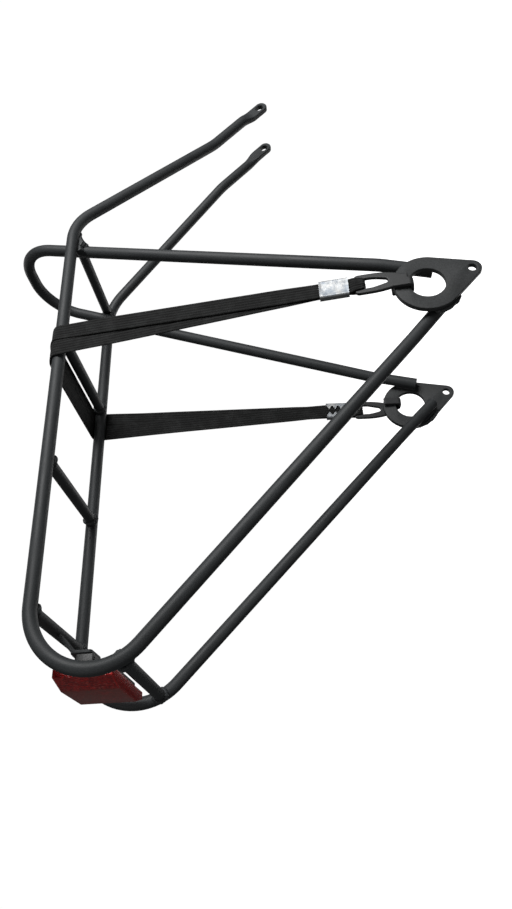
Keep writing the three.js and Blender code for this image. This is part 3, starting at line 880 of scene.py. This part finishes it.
def plate_welds(side):
    """The beads that hold the hoop and the strut on the plate's inner face."""
    beads = []
    face_y = side * (PLATE_INNER_Y - 0.9 * MM)
    steps = 12

    def add(name, path, radius, seed):
        name = f"{SIDE_NAMES[side]}_plate_{name}"
        beads.append(weld_bead(name, path, radius, closed=False, seed=seed))

    def along(start, towards, length, shift, radius, seed, wave=0.0):
        run = Vector((towards.x - start.x, 0, towards.z - start.z)).normalized()
        beside = Vector((-run.z, 0, run.x))
        path = []
        for i in range(steps + 1):
            at = start + run * length * i / steps
            at += beside * (shift + wave * math.sin(math.pi * i / steps))
            path.append(Vector((at.x, face_y, at.z)))
        add(f"weld_{len(beads)}", path, radius, seed)

    along(HOOP_END, HOOP_SET, 19 * MM, 3.4 * MM, 1.6 * MM, 1.3)
    along(HOOP_END, HOOP_SET, 15 * MM, -3.4 * MM, 1.5 * MM, 2.1)
    along(STRUT_END, STRUT_SET, 24 * MM, 3.6 * MM, 1.9 * MM, 3.7, wave=0.8 * MM)
    along(STRUT_END, STRUT_SET, 20 * MM, -3.6 * MM, 1.5 * MM, 4.9)
    edge = Pen().arc(*RING, RING_R + 0.2 * MM, 186, 244, steps).points
    add("edge_weld", [Vector((x, face_y, z)) for x, z in edge], 1.8 * MM, 6.1)
    return beads


def corner_fillet(name, corner, outward, first, second, reaches):
    """Weld metal that fills the corner between two tubes, with a hollow face and ripples.
    Its inner layers run further along the first tube, and its outer ones along the second."""
    sink = 2.5 * MM
    lip = 1.3 * MM
    layers = 9
    rings = []
    for i in range(layers):
        share = 2 * i / (layers - 1) - 1
        ripple = 1 + 0.08 * math.cos(math.pi * i)
        p = reaches[0] * ripple * (1 - 0.5 * max(share, 0))
        q = reaches[1] * ripple * (1 - 0.5 * max(-share, 0))
        outline = Pen(-sink, -TUBE_R).line(0.6 * p, -TUBE_R).line(p, 0)
        outline.quad(0.16 * p + lip, 0.16 * q + lip, 0, q, 14).line(-sink, 0.8 * q)
        at = corner + outward * share * FILLET_HALF
        rings.append([at + first * a + second * b for a, b in outline.points])
    return melt(skin(name, rings), 0.35 * MM, 20)


def hoop_leg(side, height):
    """The direction of the hoop's leg, and the point of its axis at a height."""
    start = on_side(HOOP_SET, side)
    leg = (on_side(HOOP_TOP, side) - start).normalized()
    return leg, start + leg * (height - start.z) / leg.z


def junction_fillets(side):
    """The fillets where the hoop's leg passes inside the rail: two in front, one behind."""
    outward = Y_AXIS * side
    beside = outward * (FILLET_HALF + 0.8 * MM)
    ahead = X_AXIS * FILLET_FROM_LEG
    leg, below = hoop_leg(side, PLATFORM_Z - FILLET_FROM_RAIL)
    leg, above = hoop_leg(side, PLATFORM_Z + FILLET_FROM_RAIL)
    low, high = below + beside, above + beside
    name = f"{SIDE_NAMES[side]}_junction_fillet"
    return [
        corner_fillet(name, low + ahead, outward, -leg, X_AXIS, (9 * MM, 13 * MM)),
        corner_fillet(f"{name}_high", high + ahead, outward, leg, X_AXIS, (4 * MM, 4.5 * MM)),
        corner_fillet(f"{name}_rear", low - ahead, outward, -leg, -X_AXIS, (7 * MM, 3 * MM)),
    ]


def hoop_rail_bead(side):
    """The bead round the place where the hoop's leg touches the rail."""
    leg, on_leg = hoop_leg(side, PLATFORM_Z)
    on_rail = Vector((on_leg.x, side * rail_y(on_leg.x), PLATFORM_Z))
    middle = on_leg.lerp(on_rail, 0.5)
    oval = circle(0, 0, 1, 36)
    path = [middle + X_AXIS * 4.4 * MM * a + leg * 5.2 * MM * b for a, b in oval]
    return weld_bead(f"{SIDE_NAMES[side]}_hoop_rail_weld", path, 2 * MM, seed=8.4)


# ---- Hooks ----

HOOK_MIDDLE_Y = PLATE_INNER_Y + PLATE_THICK + HOOK_CLEAR + HOOK_THICK / 2


def hook_height(side):
    """Height of the hook's origin with its claw against the edge of the ring's hole."""
    claw_sides = [HOOK_X[side], HOOK_X[side] + side * 2 * CLAW_HALF_X]
    off_centre = max(abs(x - RING[0]) for x in claw_sides)
    return RING[1] + math.sqrt(RING_HOLE**2 - off_centre**2) + CLAW_REACH


def strap_lean():
    """The strap's lean inwards, from the hook up to where it first touches the rail."""
    bands = BANDS_ON_RAIL.values()
    out = HOOK_MIDDLE_Y - rail_y(sum(band[RIGHT] for band in bands) / len(bands))
    down = hook_height(RIGHT) - PLATFORM_Z
    turn = math.atan2(down, out) + math.acos(WRAP_R / math.hypot(down, out))
    return math.atan2(out - WRAP_R * math.cos(turn), WRAP_R * math.sin(turn) - down)


LEAN = strap_lean()


def hook_frame(side):
    turned = Matrix.Rotation(math.pi if side == LEFT else 0, 4, "Z")
    at = Matrix.Translation((-side * HOOK_X[side], -HOOK_MIDDLE_Y, hook_height(side)))
    return turned @ at @ Matrix.Rotation(-LEAN, 4, "X")


def hook_outline():
    pen = Pen(-7, -11.2).line(3.5, -11.2).quad(5, -5, 7, 0).quad(8.8, 7, 9, 16)
    pen.line(9, 24.5).quad(9, 28.5, 5, 28.5).line(-5, 28.5).quad(-9, 28.5, -9, 24.5)
    return pen.line(-9, 16).quad(-8.8, 7, -7, 0).points


def hook_slot():
    pen = Pen().arc(0, 5.9, 2.4, 180, 360, 14)
    pen.quad(3.6, 9, 4.6, 15).line(4.8, 21.8).quad(4.8, 23, 3.6, 23)
    return pen.line(-3.6, 23).quad(-4.8, 23, -4.8, 21.8).line(-4.6, 15).points


def in_mm(points):
    return [(x * MM, y * MM) for x, y in points]


def claw_profile():
    """The claw's side view in the hook's Y and Z: under the ring's edge and up behind it."""
    pen = Pen(-1.5, -9.2).arc(1.7, -11.8, 3.2, 180, 270, 8).arc(6.7, -11.8, 3.2, 270, 360, 8)
    pen.arc(8.6, 0.2, 1.3, 0, 180, 10).arc(6.1, -11.2, 1.2, 0, -90, 6)
    return pen.arc(2.7, -11.2, 1.2, -90, -180, 6).line(1.5, -9.2).points


def hook(side):
    body = plate("hook_body", [in_mm(hook_outline()), in_mm(hook_slot())], HOOK_THICK, 0.7 * MM)
    move_mesh(body, IN_XZ)
    claw = plate("hook_claw", [in_mm(claw_profile())], 2 * CLAW_HALF_X, 0.6 * MM)
    move_mesh(claw, Matrix.Translation((-CLAW_HALF_X, 0, 0)) @ IN_YZ)
    obj = gather(f"{SIDE_NAMES[side]}_hook_forged", [body, claw])
    melt(obj, 0.32 * MM, 4)
    return move_mesh(obj, hook_frame(side))


# ---- Ferrules ----


def sleeve_section():
    """Points round the middle of the ferrule's sheet, clockwise seen from the hook, from
    the middle of its back."""
    half_y = 2.35 * MM
    r = 1.1 * MM
    a, b = SLEEVE_HALF - r, half_y - r
    pen = Pen(0.0, half_y).arc(a, b, r, 90, 0, 8).arc(a, -b, r, 0, -90, 8)
    pen.arc(-a, -b, r, -90, -180, 8).arc(-a, b, r, -180, -270, 8).line(0.0, half_y)
    return [Vector(p) for p in pen.points]


def ferrule(side):
    """Sheet metal folded round the webbing, with teeth that bite it from both folds behind."""
    section = sleeve_section()
    lengths = running_lengths(section)
    total = lengths[-1]
    tooth_pitch = (FERRULE_TO - FERRULE_FROM) / 4
    tooth_tall = 3.6 * MM
    start = SLEEVE_HALF - 2.9 * MM
    face_half = 6.6 * MM

    def at(distance):
        """The point and outward normal at a distance round the sleeve."""
        k = int(np.searchsorted(lengths, distance, side="right")) - 1
        k = min(max(k, 0), len(section) - 2)
        share = (distance - lengths[k]) / max(lengths[k + 1] - lengths[k], 1e-12)
        direction = (section[k + 1] - section[k]).normalized()
        return section[k].lerp(section[k + 1], share), Vector((-direction.y, direction.x))

    rows = 88
    body_steps = 120
    tooth_steps = 8
    rings = []
    for i in range(rows + 1):
        up = lerp(FERRULE_FROM, FERRULE_TO, i / rows)
        phase = ((up - FERRULE_FROM) / tooth_pitch) % 1
        tooth = tooth_tall * max(1 - abs(2 * phase - 1) * 1.25, 0)
        sheet = [start - tooth * (1 - k / tooth_steps) for k in range(tooth_steps)]
        sheet += [lerp(start, total - start, k / body_steps) for k in range(body_steps + 1)]
        sheet += [total - start + tooth * (k + 1) / tooth_steps for k in range(tooth_steps)]
        from_end = min(up - FERRULE_FROM, FERRULE_TO - up)
        flare = 0.1 * MM * (1 - smoothstep(from_end, 0, 1 * MM))
        outer, inner = [], []
        for distance in sheet:
            point, normal = at(distance)
            lift = flare
            from_side = face_half - abs(point.x)
            if point.y < 0 and from_side > 0:
                dish = 0.16 * MM * noise.noise(Vector((point.x, up, side * 3)) / (5 * MM))
                dish -= 0.12 * MM * smoothstep(from_side, 0, 2 * MM)
                lift += dish * smoothstep(from_end, 0.5 * MM, 2 * MM)
            if point.y > 0 and tooth > 0:
                beyond = max(start - distance, distance - (total - start), 0)
                lift -= 0.5 * MM * (beyond / tooth_tall) ** 2
            for row, half_wall in ((outer, FERRULE_WALL / 2), (inner, -FERRULE_WALL / 2)):
                moved = point + normal * (lift + half_wall)
                row.append(Vector((moved.x, moved.y, up)))
        rings.append(outer + inner[::-1])
    size = len(rings[0])
    faces = ring_faces(size, len(rings))
    for base in (0, rows * size):
        for k in range(size // 2 - 1):
            opposite = base + size - 1 - k
            faces.append((base + k, base + k + 1, opposite - 1, opposite))
    points = [p for ring in rings for p in ring]
    obj = new_object(f"{SIDE_NAMES[side]}_ferrule_folded", points, faces, sharp=40)
    return move_mesh(obj, hook_frame(side))


# ---- Webbing ----


def web_section(half_width, thick, middle_x, lift):
    """Points (out, x) round a ribbed band. lift(share) is its height at a share from -1 to 1
    across it."""
    upper, lower = [], []
    for k, share in enumerate(WEB_SHARES):
        rib = abs(math.sin(math.pi * k / RIB_STEPS))
        edge = math.sqrt(max(1 - abs(share) ** 14, 0.06))
        half = thick / 2 * (0.55 + 0.45 * rib**0.7) * edge
        x = middle_x + share * half_width
        upper.append((lift(share) + half, x))
        lower.append((lift(share) - half, x))
    return upper + lower[::-1]


def web_skin(name, rings):
    """skin() for webbing, with its places across and along the weave."""
    widths = [share * WEB_HALF for share in WEB_SHARES + WEB_SHARES[::-1]]
    along = running_lengths([sum(ring, Vector()) / len(ring) for ring in rings])
    return skin(name, rings, sharp=70, weave=[(w, at, 0) for at in along for w in widths])


STRAP_START = 46 * MM  # inside the ferrule
STRAP_EXIT = 55.6 * MM


def strap_point(up, side):
    y = HOOK_MIDDLE_Y - up * math.sin(LEAN)
    return Vector((0, side * y, hook_height(RIGHT) + up * math.cos(LEAN)))


def half_band(which, side):
    """One band's half: out of the ferrule, up to the rail, over it and to the middle."""
    corner = (PLATFORM_Z + WRAP_R - hook_height(RIGHT)) / math.cos(LEAN)
    before_bend = 8 * MM
    start, end = strap_point(STRAP_START, RIGHT), strap_point(corner - before_bend, RIGHT)
    top = strap_point(corner, RIGHT)
    after_bend, middle = top + Y_AXIS * before_bend, Vector((0, 0, top.z))
    corners = [(start.lerp(end, i / 89), 0) for i in range(90)] + [(top, WRAP_R)]
    corners += [(after_bend.lerp(middle, i / 29), 0) for i in range(1, 30)]
    stations = bent_path(corners, math.radians(3))
    exit_z = strap_point(STRAP_EXIT, RIGHT).z
    on_rail = BANDS_ON_RAIL[which][side]
    rail = rail_y(BANDS_ON_RAIL[which][RIGHT])
    stack = WEB_THICK / 2 + 0.08 * MM
    outer = which == "front"

    def section(i):
        point = stations[i][0]
        climb = min(max((point.z - exit_z) / (PLATFORM_Z - exit_z), 0), 1)
        outside = smoothstep(-point.y, rail - 2 * MM, rail + WRAP_R)
        x = lerp(HOOK_X[side], lerp(BANDS_ON_PLATFORM[which], on_rail, outside), climb)
        settle = smoothstep(climb, 0.8, 1.0)
        half = lerp(GRIPPED_HALF, WEB_HALF, smoothstep(climb, 0, 0.15))
        sway = 0.25 * MM * noise.noise(Vector((point.z / (45 * MM), side, 5.0 + outer)))

        def lift(share):
            if outer:
                rear_edge = 0.9 * MM * max(-share - 0.4, 0) / 0.6
                return lerp(stack, rear_edge, settle) + sway * share
            return -stack * (1 - smoothstep(climb, 0.75, 1.0)) + sway * share

        return web_section(half, WEB_THICK, x, lift)

    rings = rings_along(stations, section, X_AXIS)
    if side == LEFT:
        rings = [[on_side(p, -1) for p in ring] for ring in rings]
    return web_skin(f"{SIDE_NAMES[side]}_{which}_band", rings)


def strap_turn(side):
    """The webbing's turn round the hook's bar, gathered into folds."""
    turn_r = 2.65 * MM
    turn_centre = 23.3 * MM
    leg_top = 47 * MM
    leg_steps = 44
    ply = 0.9 * MM
    leg = []
    for i in range(leg_steps):
        up = lerp(leg_top, turn_centre, i / leg_steps)
        out = lerp(turn_r, ply, smoothstep(up, 27 * MM, 33 * MM))
        leg.append((Vector((0, -out, up)), up))
    arc = Pen().arc(0, turn_centre, turn_r, 180, 360, 16).points
    bend = [(Vector((0, y, z)), turn_centre) for y, z in arc]
    stations = leg + bend + [(on_side(point, -1), up) for point, up in reversed(leg)]
    path = []
    for i, (point, up) in enumerate(stations):
        before = stations[max(i - 1, 0)][0]
        after = stations[min(i + 1, len(stations) - 1)][0]
        path.append((point, (after - before).normalized()))

    def section(i):
        point, up = stations[i]
        gathered = 1 - smoothstep(up, 23 * MM, 33 * MM)
        low = 1 - smoothstep(point.z, 20 * MM, 24 * MM)
        half = lerp(lerp(GRIPPED_HALF, 5.5 * MM, gathered), 4.4 * MM, low)
        deep = 0.5 * MM * gathered

        def fold(share):
            wander = noise.noise(Vector((share * 1.3, i / 14, side * 2.0)))
            wave = math.cos(math.pi * (4.4 * share + 0.9 * wander + 0.3 * side))
            return deep * (0.5 + 0.5 * wave + 0.35 * wander)

        return web_section(half, 1.45 * MM, 0, fold)

    obj = web_skin(f"{SIDE_NAMES[side]}_gathered_turn", rings_along(path, section, X_AXIS))
    return move_mesh(obj, hook_frame(side))


# ---- Reflector ----


def lens():
    half = [(LENS_FRONT, LENS_HALF_WIDTH), (LENS_EDGE, LENS_HALF_WIDTH), (LENS_REAR, LENS_FLAT)]
    outline = half + [(x, -y) for x, y in reversed(half)]
    obj = plate("reflector_lens_moulded", [outline], 2 * LENS_HALF_HEIGHT, 0.7 * MM)
    return move_mesh(obj, Matrix.Translation((0, 0, LENS_Z)))


def housing():
    half_width = LENS_HALF_WIDTH - HOUSING_INSET
    half_height = LENS_HALF_HEIGHT - HOUSING_INSET
    low = Vector((LENS_FRONT + 0.15 * MM, -half_width, LENS_Z - half_height))
    high = Vector((HOUSING_FRONT, half_width, LENS_Z + half_height))
    shell = rounded_box("reflector_housing_moulded", low, high, 1.2 * MM)
    combine(shell, rounded_box("boss", BOSS_LOW, BOSS_HIGH, 0.9 * MM), "UNION", 50)
    beyond = BOSS_HIGH.x + 1 * MM
    for y in (-GROOVE_Y, GROOVE_Y):
        low = Vector((HOUSING_FRONT, y - 1.2 * MM, BOSS_LOW.z - 1 * MM))
        high = Vector((beyond, y + 1.2 * MM, BOSS_LOW.z + 3.5 * MM))
        combine(shell, rounded_box("groove", low, high, 0.3 * MM), "DIFFERENCE", 50)
    socket = lathe("socket", [(SCREW_END, 2.2 * MM), (beyond, 2.2 * MM)])
    return combine(shell, socket, "DIFFERENCE", 50)


def bracket():
    """A flat plate on the housing's boss, whose narrow neck leans forward to the cross tube."""
    middle_z = (BRACKET_TOP + BRACKET_BOTTOM) / 2
    r = 2.5 * MM
    a, b = BRACKET_HALF_WIDTH - r, (BRACKET_TOP - BRACKET_BOTTOM) / 2 - r
    pen = Pen().arc(a, b, r, 0, 90, 6).arc(-a, b, r, 90, 180, 6)
    pen.arc(-a, -b, r, 180, 270, 6).arc(a, -b, r, 270, 360, 6)
    hole = circle(0, SCREW_Z - middle_z, HOLE_R)
    face = plate("bracket_face", [pen.points, hole], BRACKET_THICK, 0.4 * MM)
    move_mesh(face, Matrix.Translation((BRACKET_X, 0, middle_z)) @ IN_YZ)
    foot = Vector((BRACKET_X, 0, BRACKET_TOP - BRACKET_THICK / 2))
    tube_x, tube_z = CROSS_TUBES["rear_cross_tube"]
    tube = Vector((tube_x, 0, tube_z))
    up = (tube - foot).normalized()
    top = tube - up * (CROSS_TUBE_R - 0.6 * MM)
    steps = 8
    stations = [(foot.lerp(top, i / steps), up) for i in range(steps + 1)]
    half = BRACKET_THICK / 2

    def section(i):
        w = BRACKET_NECK_HALF + 1.4 * MM * max(abs(2 * i / steps - 1) - 0.4, 0)
        return [(half, w), (-half, w), (-half, -w), (half, -w)]

    neck = skin("neck", rings_along(stations, section, Y_AXIS))
    return melt(gather("reflector_bracket_coated", [face, neck]), 0.3 * MM, 3)


def lathe(name, profile):
    """Profile points (x, radius) turned round the screw's axis, which runs along X."""
    rings = [[Vector((x, y, SCREW_Z + z)) for y, z in round_section(r)] for x, r in profile]
    return skin(name, rings)


def threaded_shank(start, end, r):
    """A threaded rod along the screw's axis."""
    pitch = 0.7 * MM
    depth = 0.4 * MM
    sides = 36
    steps = round((end - start) / (pitch / 8))
    rings = []
    for i in range(steps + 1):
        x = lerp(start, end, i / steps)
        taper = lerp(0.8, 1, smoothstep(x - start, 0, 1 * MM))
        ring = []
        for k, (y, z) in enumerate(round_section(1, sides)):
            phase = ((x - start) / pitch - k / sides) % 1
            radius = (r - depth * abs(2 * phase - 1)) * taper
            ring.append(Vector((x, radius * y, SCREW_Z + radius * z)))
        rings.append(ring)
    return skin("shank", rings, sharp=50)


def screw():
    """A pan-head screw with a cross recess."""
    profile = [(0, 3.4), (0.15, 3.6), (1.2, 3.55), (1.7, 3.2), (2.0, 2.6), (2.18, 1.5), (2.2, 0.1)]
    head = lathe("head", [(SCREW_HEAD + x, r) for x, r in in_mm(profile)])
    for half_y, half_z in in_mm([(1.9, 0.4), (0.4, 1.9)]):
        low = Vector((SCREW_HEAD + 0.9 * MM, -half_y, SCREW_Z - half_z))
        high = Vector((SCREW_HEAD + 3 * MM, half_y, SCREW_Z + half_z))
        combine(head, rounded_box("recess", low, high, 0.1 * MM), "DIFFERENCE")
    shank = threaded_shank(SCREW_END, SCREW_HEAD + 0.5 * MM, 2 * MM)
    return gather("reflector_screw_threaded", [head, shank])


def washer():
    loops = [circle(0, 0, 4.4 * MM), circle(0, 0, HOLE_R)]
    obj = plate("reflector_washer_plain", loops, 0.6 * MM, 0.12 * MM)
    return move_mesh(obj, Matrix.Translation((WASHER_X, 0, SCREW_Z)) @ IN_YZ)


# ---- Studio ----

CAMERA_AT = mm(-385.5, -505.7, 130.7)
IMAGE_RIGHT = Vector((-0.0355, 0.1051, -0.9938)).normalized()
IMAGE_UP = Vector((0.8682, -0.4892, -0.0828)).normalized()
FOCAL_LENGTH = 29.18
SENSOR_LONG_SIDE = 36


def photo_camera():
    data = bpy.data.cameras.new("camera")
    data.lens = FOCAL_LENGTH
    data.sensor_width = SENSOR_LONG_SIDE
    data.clip_start = 0.01
    backwards = IMAGE_RIGHT.cross(IMAGE_UP).normalized()
    up = backwards.cross(IMAGE_RIGHT)
    basis = Matrix((IMAGE_RIGHT, up, backwards)).transposed().to_4x4()
    camera = link("camera", data)
    camera.matrix_world = Matrix.Translation(CAMERA_AT) @ basis
    bpy.context.scene.camera = camera


def softbox(name, at, towards, size, power):
    data = bpy.data.lights.new(name, "AREA")
    data.shape = "DISK"
    data.size = size
    data.energy = power
    aim = (towards - at).to_track_quat("-Z", "Y").to_matrix().to_4x4()
    link(name, data).matrix_world = Matrix.Translation(at) @ aim


def lights():
    """A strong key high in front, and weak lights that shape the tubes' other sides."""
    centre = mm(0, 0, 200)
    back = IMAGE_RIGHT.cross(IMAGE_UP)
    fill = centre + (back * 0.8 - IMAGE_UP * 0.3 + IMAGE_RIGHT * 0.7) * 1.5
    softbox("key", Vector((0.5, -1.0, 0.5)), centre, 0.7, 18)
    softbox("fill", fill, centre, 1.2, 2.2)
    softbox("rear", centre + Vector((-1.3, -0.45, 0.6)), centre, 1.0, 2)
    softbox("over", centre + Vector((0.5, 0.9, 1.3)), centre, 1.2, 5)
    softbox("low", centre + Vector((0.6, 1.0, -0.9)), centre, 1.2, 7)


def world():
    """Pale surroundings that look white, and light the object less than they show."""
    surroundings = bpy.data.worlds.new("surroundings")
    surroundings.use_nodes = True
    tree = surroundings.node_tree
    background = tree.nodes["Background"]
    background.inputs["Color"].default_value = (1, 1, 1, 1)
    path = tree.nodes.new("ShaderNodeLightPath")
    strength = tree.nodes.new("ShaderNodeMapRange")
    strength.inputs[3].default_value = 0.06
    strength.inputs[4].default_value = 1.02
    tree.links.new(path.outputs["Is Camera Ray"], strength.inputs[0])
    tree.links.new(strength.outputs[0], background.inputs["Strength"])
    bpy.context.scene.world = surroundings


def floor():
    low = CAD_BOX[0][2]
    half = 20
    corners = [(-half, -half, low), (half, -half, low), (half, half, low), (-half, half, low)]
    obj = new_object("floor", corners, [(0, 1, 2, 3)])
    n = Nodes("floor_paint")
    n.set(Base_Color=(0.9, 0.9, 0.9, 1), Roughness=0.9)
    n.set(Emission_Color=(1, 1, 1, 1), Emission_Strength=1.0)
    obj.data.materials.append(n.material)
    obj.visible_diffuse = False
    obj.visible_glossy = False
    obj.visible_shadow = False


# ---- The rack ----

photo_camera()
world()
lights()
floor()
bpy.context.scene.view_settings.view_transform = "Standard"

finish_piece(front_hoop(), "frame", "frame", "front_hoop")
for name, (x, z) in CROSS_TUBES.items():
    finish_piece(cross_tube(name, x, z), "frame", "frame", name)
    for side in (RIGHT, LEFT):
        seed = x * 100 + side * 3
        finish_piece(cross_tube_bead(name, x, z, side, seed), "frame", "frame")

for side in (RIGHT, LEFT):
    prefix = SIDE_NAMES[side]
    finish_piece(side_tube(side), "frame", "frame", f"{prefix}_side_tube")
    finish_piece(dropout_plate(side), "plate", "frame", f"{prefix}_dropout_plate")
    finish_piece(hoop_rail_bead(side), "frame", "frame")
    for fillet in junction_fillets(side):
        finish_piece(fillet, "frame", "frame")
    for bead in plate_welds(side):
        finish_piece(bead, "frame", "frame")
    ends = f"{prefix}_strap_end"
    finish_piece(hook(side), "hook", ends, f"{prefix}_hook")
    finish_piece(ferrule(side), "zinc", ends, f"{prefix}_ferrule")
    finish_piece(strap_turn(side), "webbing", ends, f"{prefix}_strap_turn")
    for which in BANDS_ON_RAIL:
        band = half_band(which, side)
        band.data.materials.append(MATERIALS["webbing"])
        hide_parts("elastic_strap")
        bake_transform(band)

finish_piece(lens(), "lens", "frame", "reflector_lens")
finish_piece(housing(), "housing", "frame", "reflector_housing")
finish_piece(bracket(), "frame", "frame", "reflector_bracket")
finish_piece(screw(), "fastener", "frame", "reflector_screw")
finish_piece(washer(), "fastener", "frame", "reflector_washer")
